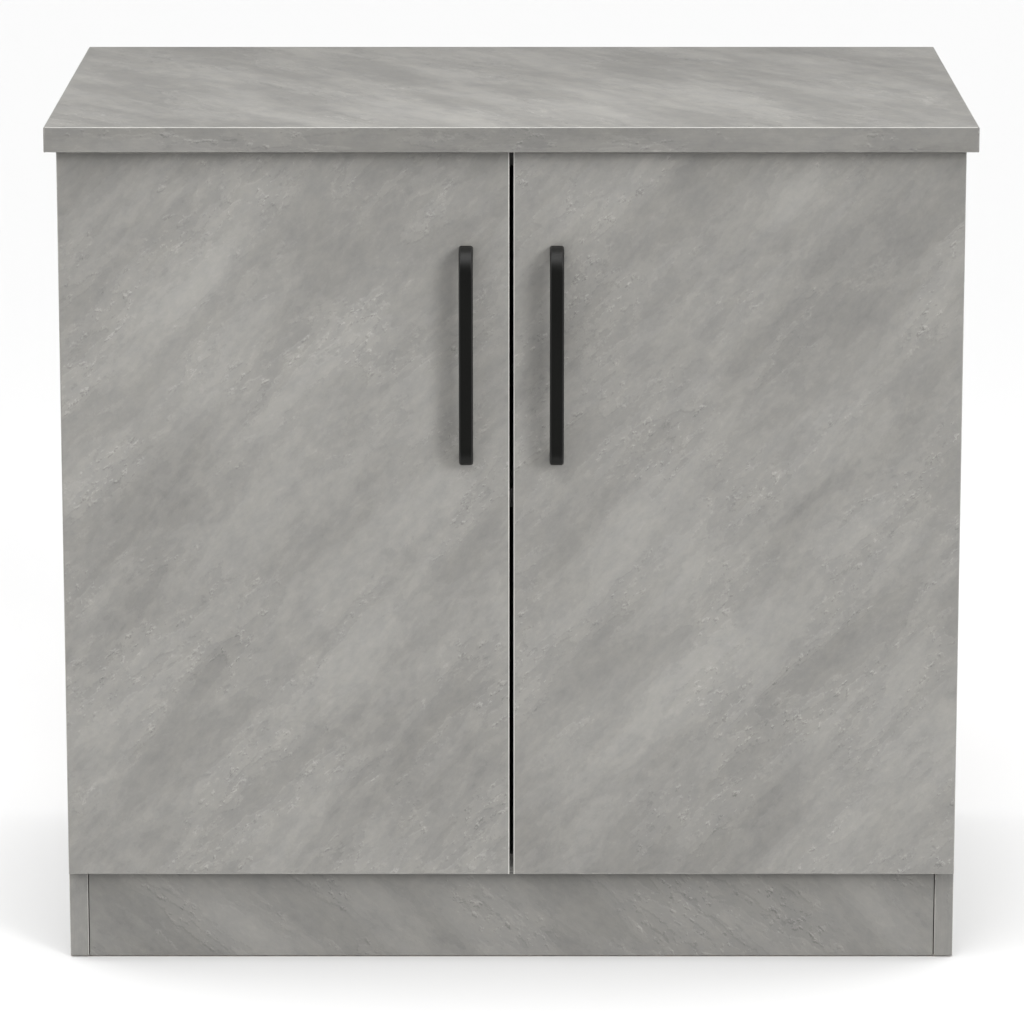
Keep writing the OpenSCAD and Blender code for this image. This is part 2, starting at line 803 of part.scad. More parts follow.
module door_panel(s) {
    color(decor) on_side(s) difference() {
        block([x_door_in + band_t, y_door_face, z_door_low + band_t],
            [x_door_out - band_t, y_door_back, z_door_high - band_t]);
        for (z = [z_handle_low + foot_mid, z_handle_high - foot_mid])
            hole_y([x_handle, y_door_face, z], door_t + past, handle_screw_r + loose_clear);
        at_door() for (z = z_hinges) {
            hole_y([cup_u, 0, z], -(cup_depth + cup_gap), cup_r + cup_gap);
            for (e = [-1, 1])
                hole_y([cup_screw_u, 0, z + e * cup_screw_z], -cup_screw_l, cup_screw_r + fit_clear);
        }
    }
}

module door_edge_bands(s) {
    l = z_door_high - z_door_low;
    w = x_door_out - x_door_in;
    color(decor_edge) on_side(s) translate([x_door_in, y_door_face, z_door_low]) {
        translate([w - band_t, 0, 0]) band(l, band_t, door_t, side_r);
        translate([band_t, 0, 0]) mirror([1, 0, 0]) band(l, band_t, door_t, side_r);
        translate([w - band_t, 0, l - band_t]) rotate([0, -90, 0])
            band(w - 2 * band_t, band_t, door_t, side_r);
        translate([band_t, 0, band_t]) rotate([0, 90, 0]) band(w - 2 * band_t, band_t, door_t, side_r);
    }
}

// Clear bumpers on the back of the door, which meet the front rail and the bottom panel
module door_bumpers(s) {
    z_low = (z_door_low + z_bottom) / 2;
    z_high = (z_rail + z_door_high) / 2;
    color(clear_rubber) on_side(s) for (z = [z_low, z_high])
        rod_y([x_door_in + bumper_inset, y_door_back, z], bumper_h, bumper_r);
}

// Handles

// Half of the handle's outer form, above the middle: bar, bend and foot, with rounded outer arrises
module handle_half() {
    d = handle_bend_r;
    y_bend = -handle_reach + d;
    translate([-handle_w / 2, y_bend, handle_l / 2]) rotate([0, 0, -90])
        linear_extrude(handle_l / 2 - d) handle_section(d);
    translate([0, y_bend, handle_l - d]) rotate([90, 0, 0]) rotate([0, -90, 0])
        rotate_extrude(angle = 90) translate([0, -handle_w / 2]) handle_section(d);
    translate([-handle_w / 2, y_bend, handle_l - d]) rotate([0, -90, -90])
        linear_extrude(handle_reach - d) handle_section(d);
}

// A strip d deep, whose two arrises on the far side are rounded
module handle_section(d) {
    r = handle_arris_r;
    square([d - r, handle_w]);
    translate([0, r]) square([d, handle_w - 2 * r]);
    for (y = [r, handle_w - r]) translate([d - r, y]) circle(r);
}

// The finger room behind the bar, seen from the side: x is the height, y the depth from the door
module handle_room() {
    high = handle_l - handle_t;
    deep = handle_reach - handle_t;
    r = handle_corner_r;
    translate([handle_t, -past]) square([high - handle_t, deep - r + past]);
    translate([handle_t + r, -past]) square([high - handle_t - 2 * r, deep + past]);
    for (x = [handle_t + r, high - r]) translate([x, deep - r]) circle(r);
}

module handle(s) {
    color(black) on_side(s) translate([x_handle, y_door_face, z_handle_low]) difference() {
        union() {
            handle_half();
            translate([0, 0, handle_l]) mirror([0, 0, 1]) handle_half();
        }
        translate([-handle_w, 0, 0]) rotate([180, -90, 0]) linear_extrude(2 * handle_w) handle_room();
        for (z = [foot_mid, handle_l - foot_mid])
            hole_y([0, 0, z], -handle_thread_l, handle_screw_r + fit_clear);
    }
}

module handle_screws(s) {
    color(steel) on_side(s) for (z = [z_handle_low + foot_mid, z_handle_high - foot_mid]) {
        rod_y([x_handle, y_door_back, z], -(door_t + handle_thread_l - handle_screw_tip), handle_screw_r);
        rod_y([x_handle, y_door_back, z], handle_head_h, handle_head_r);
    }
}

worktop();
worktop_front_band();
worktop_end_band(-1);  // worktop_left_band
worktop_end_band(1);  // worktop_right_band
side_panel(-1);  // left_side_panel
side_panel(1);  // right_side_panel
side_band(-1);  // left_side_band
side_band(1);  // right_side_band
bottom_panel();
bottom_panel_band();
front_rail();
front_rail_band();
rear_rail();
back_panel();
back_nails();
shelf();
shelf_band();
shelf_supports();
plinth_board();
plinth_brackets();
plinth_screws();
floor_glides();
cam_bolts();
cam_locks();
dowels();
worktop_screws();
hinge_plates(-1);  // left_hinge_plates
hinge_plates(1);  // right_hinge_plates
hinge_plate_screws(-1);  // left_hinge_plate_screws
hinge_plate_screws(1);  // right_hinge_plate_screws
hinge_arms(-1);  // left_hinge_arms
hinge_arms(1);  // right_hinge_arms
hinge_arm_screws(-1);  // left_hinge_arm_screws
hinge_arm_screws(1);  // right_hinge_arm_screws
door_panel(-1);  // left_door_panel
door_edge_bands(-1);  // left_door_edge_bands
handle(-1);  // left_handle
handle_screws(-1);  // left_handle_screws
hinge_cups(-1);  // left_hinge_cups
hinge_cup_screws(-1);  // left_hinge_cup_screws
hinge_pins(-1);  // left_hinge_pins
door_bumpers(-1);  // left_door_bumpers
door_panel(1);  // right_door_panel
door_edge_bands(1);  // right_door_edge_bands
handle(1);  // right_handle
handle_screws(1);  // right_handle_screws
hinge_cups(1);  // right_hinge_cups
hinge_cup_screws(1);  // right_hinge_cup_screws
hinge_pins(1);  // right_hinge_pins
door_bumpers(1);  // right_door_bumpers
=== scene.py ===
import json
import math

import bmesh
import bpy
from mathutils import Matrix, Vector


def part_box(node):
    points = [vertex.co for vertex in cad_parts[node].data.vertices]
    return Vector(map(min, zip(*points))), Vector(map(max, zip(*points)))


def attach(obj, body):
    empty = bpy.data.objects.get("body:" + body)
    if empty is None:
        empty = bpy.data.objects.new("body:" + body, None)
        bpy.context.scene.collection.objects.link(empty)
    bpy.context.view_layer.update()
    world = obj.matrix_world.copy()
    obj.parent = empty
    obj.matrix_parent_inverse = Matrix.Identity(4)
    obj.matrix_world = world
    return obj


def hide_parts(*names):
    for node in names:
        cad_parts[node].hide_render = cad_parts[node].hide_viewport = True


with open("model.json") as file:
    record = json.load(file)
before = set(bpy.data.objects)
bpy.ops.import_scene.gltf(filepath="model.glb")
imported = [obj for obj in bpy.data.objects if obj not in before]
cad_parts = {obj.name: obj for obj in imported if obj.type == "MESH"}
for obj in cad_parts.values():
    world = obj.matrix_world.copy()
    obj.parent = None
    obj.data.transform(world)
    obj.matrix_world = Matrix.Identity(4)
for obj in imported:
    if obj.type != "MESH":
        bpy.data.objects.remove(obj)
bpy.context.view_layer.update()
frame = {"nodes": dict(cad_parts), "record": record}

# Kitchen base cabinet, dressed. Metres, +Z up, the doors face -Y.
nodes = frame["nodes"]
scene = bpy.context.scene
SIDES = (("left", -1.0), ("right", 1.0))

# Camera, level sideways and looking down a little through a long lens
FRAME_PX = 1024.0
LENS_PX = 5500.0
SENSOR_MM = 36.0
PITCH = 12.35
CAMERA_AT = (0.0006, -5.640, 1.6445)
SEES_TO = 200.0

cam_data = bpy.data.cameras.new("camera")
cam_data.sensor_width = SENSOR_MM
cam_data.lens = LENS_PX / FRAME_PX * SENSOR_MM
cam_data.clip_end = SEES_TO
camera = bpy.data.objects.new("camera", cam_data)
camera.location = CAMERA_AT
camera.rotation_euler = (math.radians(90.0 - PITCH), 0.0, 0.0)
scene.collection.objects.link(camera)
scene.camera = camera
scene.view_settings.view_transform = "Standard"
scene.view_settings.look = "None"
scene.view_settings.exposure = 0.0


# Node helpers
class Graph:
    """A node tree under construction. Its methods add nodes and return an output socket."""

    def __init__(self, tree):
        self.tree = tree
        self.coord = tree.nodes.new("ShaderNodeTexCoord")

    def feed(self, socket, value):
        if isinstance(value, bpy.types.NodeSocket):
            self.tree.links.new(value, socket)
        else:
            socket.default_value = value

    def math(self, operation, a, b=0.0):
        n = self.tree.nodes.new("ShaderNodeMath")
        n.operation = operation
        self.feed(n.inputs[0], a)
        self.feed(n.inputs[1], b)
        return n.outputs[0]

    def plus(self, first, *rest):
        for value in rest:
            first = self.math("ADD", first, value)
        return first

    def minus(self, a, b):
        return self.math("SUBTRACT", a, b)

    def times(self, a, b):
        return self.math("MULTIPLY", a, b)

    def most(self, a, b):
        return self.math("MAXIMUM", a, b)

    def absolute(self, value):
        return self.math("ABSOLUTE", value)

    def apart(self, a, b):
        """How far two values are apart, whichever is the larger."""
        return self.absolute(self.minus(a, b))

    def about(self, value, weight):
        """How far a noise value is from its middle, times a weight."""
        return self.times(self.minus(value, 0.5), weight)

    def span(self, value, low, high, to_low=0.0, to_high=1.0, smooth=True):
        """Maps low to high onto to_low to to_high, and holds it there outside."""
        n = self.tree.nodes.new("ShaderNodeMapRange")
        n.interpolation_type = "SMOOTHSTEP" if smooth else "LINEAR"
        for name, v in (("Value", value), ("From Min", low), ("From Max", high),
                        ("To Min", to_low), ("To Max", to_high)):
            self.feed(n.inputs[name], v)
        return n.outputs["Result"]

    def axis(self, vector, name):
        n = self.tree.nodes.new("ShaderNodeSeparateXYZ")
        self.feed(n.inputs[0], vector)
        return n.outputs[name]


class Shader(Graph):
    """A material under construction."""

    def __init__(self, name):
        self.mat = bpy.data.materials.new(name)
        self.mat.use_nodes = True
        super().__init__(self.mat.node_tree)
        self.bsdf = self.tree.nodes["Principled BSDF"]
        self.point = self.coord.outputs["Object"]
        self.normal = self.coord.outputs["Normal"]

    def mix_of(self, kind, first, result, factor, a, b):
        """A mix node of one data type; first and result are the places of that type's sockets."""
        n = self.tree.nodes.new("ShaderNodeMix")
        n.data_type = kind
        self.feed(n.inputs["Factor"], factor)
        self.feed(n.inputs[first], a)
        self.feed(n.inputs[first + 1], b)
        return n.outputs[result]

    def mix_value(self, factor, a, b):
        return self.mix_of("FLOAT", 2, 0, factor, a, b)

    def mix_vector(self, factor, a, b):
        return self.mix_of("VECTOR", 4, 1, factor, a, b)

    def mix(self, factor, a, b):
        return self.mix_of("RGBA", 6, 2, factor, a, b)

    def ramp(self, factor, stops):
        n = self.tree.nodes.new("ShaderNodeValToRGB")
        elements = n.color_ramp.elements
        while len(elements) < len(stops):
            elements.new(0.5)
        for element, (position, colour) in zip(elements, stops):
            element.position = position
            element.color = (*colour, 1.0)
        self.feed(n.inputs[0], factor)
        return n.outputs[0]

    def vector_math(self, operation, first, second, value):
        n = self.tree.nodes.new("ShaderNodeVectorMath")
        n.operation = operation
        self.feed(n.inputs[0], first)
        self.feed(n.inputs[second], value)
        return n.outputs[0]

    def scaled(self, colour, factor):
        return self.vector_math("SCALE", colour, "Scale", factor)

    def moved(self, point, step):
        return self.vector_math("ADD", point, 1, step)

    def stretched(self, size, turn=(0.0, 0.0, 0.0), shift=(0.0, 0.0, 0.0), point=None):
        """Coordinates whose cells measure size in metres, one number or three, turned by Euler angles."""
        n = self.tree.nodes.new("ShaderNodeMapping")
        n.vector_type = "TEXTURE"
        n.inputs["Location"].default_value = shift
        n.inputs["Rotation"].default_value = turn
        n.inputs["Scale"].default_value = size if isinstance(size, tuple) else (size, size, size)
        self.feed(n.inputs["Vector"], self.point if point is None else point)
        return n.outputs[0]

    def noise(self, vector, detail=3.0, rough=0.5, distortion=0.0):
        n = self.tree.nodes.new("ShaderNodeTexNoise")
        self.feed(n.inputs["Vector"], vector)
        n.inputs["Scale"].default_value = 1.0
        n.inputs["Detail"].default_value = detail
        n.inputs["Roughness"].default_value = rough
        n.inputs["Distortion"].default_value = distortion
        return n.outputs["Fac"]

    def cells(self, vector, feature="F1", output="Distance"):
        n = self.tree.nodes.new("ShaderNodeTexVoronoi")
        n.feature = feature
        self.feed(n.inputs["Vector"], vector)
        n.inputs["Scale"].default_value = 1.0
        return n.outputs[output]

    def arris(self):
        """1 where the surface leans between two axes, as on a rounded edge, and 0 on the flat faces."""
        x, y, z = (self.absolute(self.axis(self.normal, name)) for name in "XYZ")
        return self.span(self.most(self.most(x, y), z), 0.78, 0.97, 1.0, 0.0)

    def bump(self, height, distance, strength):
        n = self.tree.nodes.new("ShaderNodeBump")
        n.inputs["Strength"].default_value = strength
        n.inputs["Distance"].default_value = distance
        self.feed(n.inputs["Height"], height)
        return n.outputs[0]

    def set(self, **values):
        """Feeds the inputs of the surface and returns the finished material."""
        for name, value in values.items():
            self.feed(self.bsdf.inputs[name.replace("_", " ")], value)
        return self.mat


# Materials
DIAGONAL = math.radians(47.0)
# Layers of the print: length and width of a cell, then detail, roughness and bend of its noise
PRINT = {"drift": (0.36, 0.13, 2.0, 0.50, 0.2), "patch": (0.12, 0.060, 3.0, 0.60, 0.3),
         "base": (0.19, 0.050, 3.0, 0.58, 0.25), "mottle": (0.030, 0.017, 7.0, 0.74, 0.15),
         "chip": (0.0110, 0.0062, 4.0, 0.66, 0.2), "grain": (0.0022, 0.0016, 2.0, 0.6, 0.0)}
# How much each layer lightens or darkens the print, times the contrast of the board, and the grain alone
WEIGHT = {"drift": 0.39, "base": 0.30, "steps": 0.088, "patch": 0.12, "mottle": 0.46, "chip": 0.20}
GRAIN_WEIGHT = 0.04
# Plateaus rise out of the base layer, whose outlines these layers fray. Each rise has the levels where it
# starts and ends, and its share of the whole height.
FRAY = {"mottle": 0.26, "chip": 0.05}
RISES = ((0.435, 0.455, 0.35), (0.515, 0.530, 0.35), (0.590, 0.610, 0.30))
# Crumbs are the highest chips, thick along this level of the base layer and thinner away from it
CRUMB = (0.59, 0.63)
FRINGE = 0.525
FRINGE_FADES = (0.02, 0.110, 1.0, 0.15)
# Where the patch layer is high the forms are sharp, and elsewhere they are smooth
SHARP_PATCH = (0.46, 0.60)
# Painted highlight and painted shade on the edges of the print's forms, as if lit from above: a layer is
# compared with itself this far up and aside
EMBOSS_STEP = (0.0006, 0.0006, 0.0015)
EMBOSS = {"steps": 0.27, "crumb": 0.25}
# How high each layer stands in the relief, and the roughness from the lowest to the highest
RELIEF = {"steps": 0.8, "chip": 0.5, "crumb": 0.6, "grain": 0.2}
PRINT_ROUGHNESS = (0.46, 0.60)
PRINT_GLOSS = 0.25
# The grey is a little warm, and warmer in the light parts
WARM_DARK = (1.014, 0.995, 0.945, 1.0)
WARM_LIGHT = (1.020, 0.995, 0.925, 1.0)


def decor_nodes(s, turn, tone, shift, contrast=1.0):
    """The grey slate effect along one direction: soft drifts, ragged plateaus and crumbled fringes.
    Returns colour, roughness and the height of its relief."""

    def layer(name, point=None):
        length, width, detail, rough, bend = PRINT[name]
        return s.noise(s.stretched((length, width, width), turn, shift, point), detail, rough, bend)

    def forms(point=None):
        """Plateaus, crumbs and the layers that they are made of, at the surface's point or at another."""
        found = {name: layer(name, point) for name in ("base", "mottle", "chip")}
        ragged = s.plus(found["base"], *(s.about(found[name], share) for name, share in FRAY.items()))
        found["steps"] = s.plus(*(s.times(s.span(ragged, low, high), share) for low, high, share in RISES))
        near = s.span(s.apart(found["base"], FRINGE), *FRINGE_FADES)
        found["crumb"] = s.times(s.span(found["chip"], *CRUMB), near)
        return found

    here = forms()
    above = forms(s.moved(s.point, EMBOSS_STEP))
    here.update({name: layer(name) for name in ("patch", "drift", "grain")})
    sharp = s.span(here["patch"], *SHARP_PATCH)
    # Painted highlight and painted shade along the edges of the forms, as if lit from above
    painted_relief_light = [s.times(s.times(s.minus(here[name], above[name]), sharp), weight)
            for name, weight in EMBOSS.items()]
    total = s.plus(1.0, *(s.about(here[name], weight * contrast) for name, weight in WEIGHT.items()),
                   s.about(here["grain"], GRAIN_WEIGHT), *painted_relief_light)
    warm = s.mix(s.span(here["mottle"], 0.35, 0.65), WARM_DARK, WARM_LIGHT)
    colour = s.scaled(s.scaled(warm, total), tone)
    here["crumb"] = s.times(here["crumb"], sharp)
    height = s.plus(*(s.times(here[name], share) for name, share in RELIEF.items()))
    roughness = s.span(s.plus(here["base"], s.times(here["chip"], 0.5)), 0.45, 1.05, *PRINT_ROUGHNESS)
    return colour, roughness, height


# Chips lie flat in the board, so their cells are thin along the axis that its faces look along
CHIP_SIZE = {"X": (0.0011, 0.0042, 0.0036), "Y": (0.0040, 0.0011, 0.0040), "Z": (0.0040, 0.0040, 0.0011)}
CHIP_BROWNS = ((0.0, (0.16, 0.10, 0.055)), (0.35, (0.33, 0.225, 0.135)),
               (0.7, (0.46, 0.335, 0.215)), (1.0, (0.60, 0.47, 0.33)))
RAW_ROUGHNESS = 0.88
# Distance and strength of the bumps of the print, of raw chips and of the print on a band
PRINT_BUMP = (0.00030, 0.55)
CHIP_BUMP = (0.0004, 0.8)
BAND_BUMP = (0.00022, 0.5)


def chipboard_nodes(s, axis):
    """Raw chipboard for cut edges and bores: pressed chips in many browns."""
    place = s.stretched(CHIP_SIZE[axis])
    colour = s.ramp(s.axis(s.cells(place, "F1", "Color"), "X"), CHIP_BROWNS)
    dust = s.noise(s.stretched(0.0009), 3.0, 0.65)
    gap = s.cells(place, "DISTANCE_TO_EDGE")
    height = s.plus(s.span(gap, 0.0, 0.12), s.times(dust, 0.6))
    return s.scaled(colour, s.span(dust, 0.3, 0.7, 0.82, 1.14)), height


def board(name, turn, axis, tone, shift, contrast=1.0):
    """Faced chipboard whose faces look along axis; every other surface is raw."""
    s = Shader(name)
    colour, roughness, height = decor_nodes(s, turn, tone, shift, contrast)
    raw = s.span(s.absolute(s.axis(s.normal, axis)), 0.70, 0.92, 1.0, 0.0)
    chip_colour, chip_height = chipboard_nodes(s, axis)
    relief = s.mix_vector(raw, s.bump(height, *PRINT_BUMP), s.bump(chip_height, *CHIP_BUMP))
    return s.set(Base_Color=s.mix(raw, colour, chip_colour), Normal=relief,
                 Roughness=s.mix_value(raw, roughness, RAW_ROUGHNESS), Specular_IOR_Level=PRINT_GLOSS)


# Painted highlight on a band's rounded arris, how much paler than its print it is: by default, on the
# worktop's front and the doors, less on the right door, and at the corners of the cabinet
ARRIS_HIGHLIGHT = 1.60
ARRIS_HIGHLIGHT_STRONG = 1.95
ARRIS_HIGHLIGHT_MID = 1.80
CORNER_ARRIS_HIGHLIGHT = 2.60
ARRIS_ROUGHNESS = 0.30
ARRIS_GLOSS = 0.60
# How far in from the edge where the doors meet the painted highlight strip goes, before and after it fades
HIGHLIGHT_STRIP = (0.00125, 0.00150)


def edge_band(name, turn, tone, shift, highlight=ARRIS_HIGHLIGHT, highlight_x=None):
    """Thin plastic edging with the same print, drawn along its length, its arris smoother and given a painted
    highlight.
    At highlight_x, the upright edge where the doors meet, its narrow front gets a painted highlight too."""
    s = Shader(name)
    colour, roughness, height = decor_nodes(s, turn, tone, shift)
    hair = s.noise(s.stretched((0.045, 0.0006, 0.0006), turn, shift), 2.0, 0.5)
    colour = s.scaled(colour, s.span(hair, 0.3, 0.7, 0.975, 1.025))
    # Painted highlight: the rounded arris, and the narrow front at the doors' meeting edge, are paler than
    # the print; their lower roughness and higher gloss are real
    band_arris_highlight = s.arris()
    if highlight_x is not None:
        front = s.span(s.axis(s.normal, "Y"), -0.95, -0.80, 1.0, 0.0)
        strip = s.times(front, s.span(s.apart(s.axis(s.point, "X"), highlight_x), *HIGHLIGHT_STRIP, 1.0, 0.0))
        band_arris_highlight = s.most(band_arris_highlight, strip)
    return s.set(Base_Color=s.scaled(colour, s.mix_value(band_arris_highlight, 1.0, highlight)),
                 Roughness=s.mix_value(band_arris_highlight, roughness, ARRIS_ROUGHNESS),
                 Normal=s.bump(s.plus(height, s.times(hair, 0.4)), *BAND_BUMP),
                 Specular_IOR_Level=s.mix_value(band_arris_highlight, PRINT_GLOSS, ARRIS_GLOSS))


BLACKS = ((0.30, (0.0024, 0.0025, 0.0021)), (0.70, (0.0045, 0.0046, 0.0040)))
COAT_TOP_HIGHLIGHT = (0.0142, 0.0142, 0.0135, 1.0)
COAT_ARRIS_HIGHLIGHT = (0.015, 0.015, 0.0145, 1.0)


def powder_coat():
    """Fine black powder coat: orange peel, a painted highlight on what looks up, and a painted highlight on
    the arrises that lean to the sides.
    """
    s = Shader("black_powder_coat")
    peel = s.noise(s.stretched(0.0011), 3.0, 0.55)
    fine = s.noise(s.stretched(0.00035), 2.0, 0.5)
    cloud = s.noise(s.stretched((0.04, 0.04, 0.09)), 3.0, 0.5)
    colour = s.ramp(s.plus(s.times(peel, 0.5), s.times(cloud, 0.5)), BLACKS)
    coat_arris_highlight = s.arris()
    upward = s.span(s.axis(s.normal, "Z"), 0.05, 0.90)
    # Painted highlight: paler where the coat faces up, patchy with the cloud
    colour = s.mix(s.times(upward, s.span(cloud, 0.2, 0.6, 0.75, 1.0)), colour, COAT_TOP_HIGHLIGHT)
    lean = s.absolute(s.axis(s.normal, "X"))
    # Painted highlight: arrises that lean towards the sides are paler
    colour = s.mix(s.times(s.span(lean, 0.05, 0.60), coat_arris_highlight), colour, COAT_ARRIS_HIGHLIGHT)
    rough = s.plus(s.span(s.plus(peel, cloud), 0.7, 1.3, 0.42, 0.54), s.times(coat_arris_highlight, 0.06))
    height = s.plus(s.times(peel, 0.7), s.times(fine, 0.4))
    return s.set(Base_Color=colour, Roughness=rough, Normal=s.bump(height, 0.00012, 0.5),
                 Specular_IOR_Level=s.mix_value(coat_arris_highlight, 0.08, 0.22))


def metal(name, colour, rough, grain=(0.010, 0.0005, 0.0005), spangle=0.0, depth=0.00004):
    """Plated or bare steel or zinc, with fine drawing marks, a little haze and dulled patches."""
    s = Shader(name)
    drawn = s.noise(s.stretched(grain), 3.0, 0.6)
    haze = s.noise(s.stretched(0.012), 4.0, 0.6)
    factor = s.span(s.plus(s.times(drawn, 0.5), s.times(haze, 0.5)), 0.30, 0.70, 0.86, 1.10)
    if spangle:
        flake = s.axis(s.cells(s.stretched(0.004), "F1", "Color"), "X")
        factor = s.times(factor, s.span(flake, 0.0, 1.0, 1.0 - spangle, 1.0 + spangle, False))
    dulled = s.span(s.plus(haze, s.times(drawn, 0.6)), 0.55, 1.1, rough - 0.06, rough + 0.12)
    return s.set(Base_Color=s.scaled(colour, factor), Metallic=1.0, Roughness=dulled,
                 Normal=s.bump(drawn, depth, 0.6))


BACK_TONE = 0.36
BACK_CONTRAST = 0.8
FIBRE_BROWNS = ((0.34, (0.155, 0.094, 0.052)), (0.50, (0.215, 0.137, 0.080)), (0.66, (0.285, 0.190, 0.116)))
FIBRE_SPECK = (0.095, 0.055, 0.030, 1.0)


def hardboard():
    """The back: grey printed paper towards the inside, bare brown fibre outside."""
    s = Shader("back_hardboard")
    paper, paper_rough, height = decor_nodes(s, IN_XZ, BACK_TONE, (0.9, 0.2, 0.4), BACK_CONTRAST)
    fibre = s.noise(s.stretched((0.0045, 0.0012, 0.0020), (0.0, 0.6, 0.0)), 5.0, 0.68, 0.8)
    blotch = s.noise(s.stretched(0.09), 4.0, 0.6)
    speck = s.span(s.cells(s.stretched(0.010)), 0.05, 0.14, 1.0, 0.0)
    brown = s.ramp(s.plus(s.times(fibre, 0.55), s.times(blotch, 0.45)), FIBRE_BROWNS)
    brown = s.mix(s.times(speck, 0.45), brown, FIBRE_SPECK)
    brown_rough = s.span(fibre, 0.3, 0.7, 0.62, 0.78)
    inside = s.span(s.axis(s.normal, "Y"), -0.9, -0.6, 1.0, 0.0)
    relief = s.plus(s.times(fibre, 0.8), s.times(height, 0.2))
    return s.set(Base_Color=s.mix(inside, brown, paper), Normal=s.bump(relief, 0.00018, 0.5),
                 Roughness=s.mix_value(inside, brown_rough, paper_rough), Specular_IOR_Level=0.35)


BEECH_BROWNS = ((0.32, (0.40, 0.255, 0.135)), (0.68, (0.62, 0.45, 0.27)))
BEECH_RAY = (0.30, 0.17, 0.085, 1.0)


def beech():
    """Turned beech with its short dark rays."""
    s = Shader("beech_dowel")
    grain = s.noise(s.stretched((0.030, 0.0009, 0.0009)), 4.0, 0.6, 0.3)
    ray = s.span(s.cells(s.stretched((0.0016, 0.0004, 0.0004))), 0.0, 0.25, 1.0, 0.0)
    colour = s.mix(s.times(ray, 0.35), s.ramp(grain, BEECH_BROWNS), BEECH_RAY)
    return s.set(Base_Color=colour, Roughness=0.62, Normal=s.bump(grain, 0.00012, 0.6))


NYLON_WHITES = ((0.30, (0.60, 0.59, 0.55)), (0.70, (0.74, 0.73, 0.70)))


def nylon():
    """Off-white nylon, mottled and scuffed."""
    s = Shader("nylon_glide")
    mottle = s.noise(s.stretched(0.0035), 4.0, 0.6)
    scuff = s.noise(s.stretched((0.006, 0.0005, 0.0005), (0.0, 0.0, 0.7)), 3.0, 0.6)
    colour = s.ramp(s.plus(s.times(mottle, 0.6), s.times(scuff, 0.4)), NYLON_WHITES)
    return s.set(Base_Color=colour, Roughness=s.span(scuff, 0.3, 0.7, 0.38, 0.58),
                 Normal=s.bump(mottle, 0.00008, 0.5))


RUBBER_TINTS = ((0.3, (0.80, 0.82, 0.82)), (0.7, (0.93, 0.94, 0.94)))
RUBBER_IOR = 1.46
RUBBER_CLEARNESS = 0.82


def clear_rubber():
    """Clear soft plastic that lets most light through."""
    s = Shader("clear_bumper")
    haze = s.noise(s.stretched(0.0022), 3.0, 0.6)
    return s.set(Base_Color=s.ramp(haze, RUBBER_TINTS), Roughness=s.span(haze, 0.3, 0.7, 0.12, 0.30),
                 Transmission_Weight=RUBBER_CLEARNESS, IOR=RUBBER_IOR, Normal=s.bump(haze, 0.00005, 0.4))


# Directions of the print
IN_XZ = (0.0, -DIAGONAL, 0.0)
IN_YZ = (0.0, -DIAGONAL, math.radians(90.0))
ALONG_X = (0.0, 0.0, 0.0)
ALONG_Y = (0.0, 0.0, math.radians(90.0))
ALONG_Z = (0.0, math.radians(-90.0), 0.0)
ON_TOP = (0.0, 0.0, math.radians(-60.0))
ON_PLINTH = (0.0, math.radians(40.0), 0.0)
# Reflectance of the print on most boards and on the worktop, and of the pieces that differ from them
TONE = 0.196
# Painted shade: the worktop's top is a darker copy of the same print, set against the stronger light it gets
# from above
TOP_TONE = 0.173
TOP_FRONT_TONE = TONE * 0.775
TOP_END_TONE = TONE * 0.93
LEFT_BAND_TONE = TONE * 0.93
RIGHT_BAND_TONE = TONE * 0.85
# Painted shade: the plinth, recessed under the doors, is a darker copy of the print
PLINTH_TONE = TONE * 0.84
DOOR_CONTRAST = 1.14

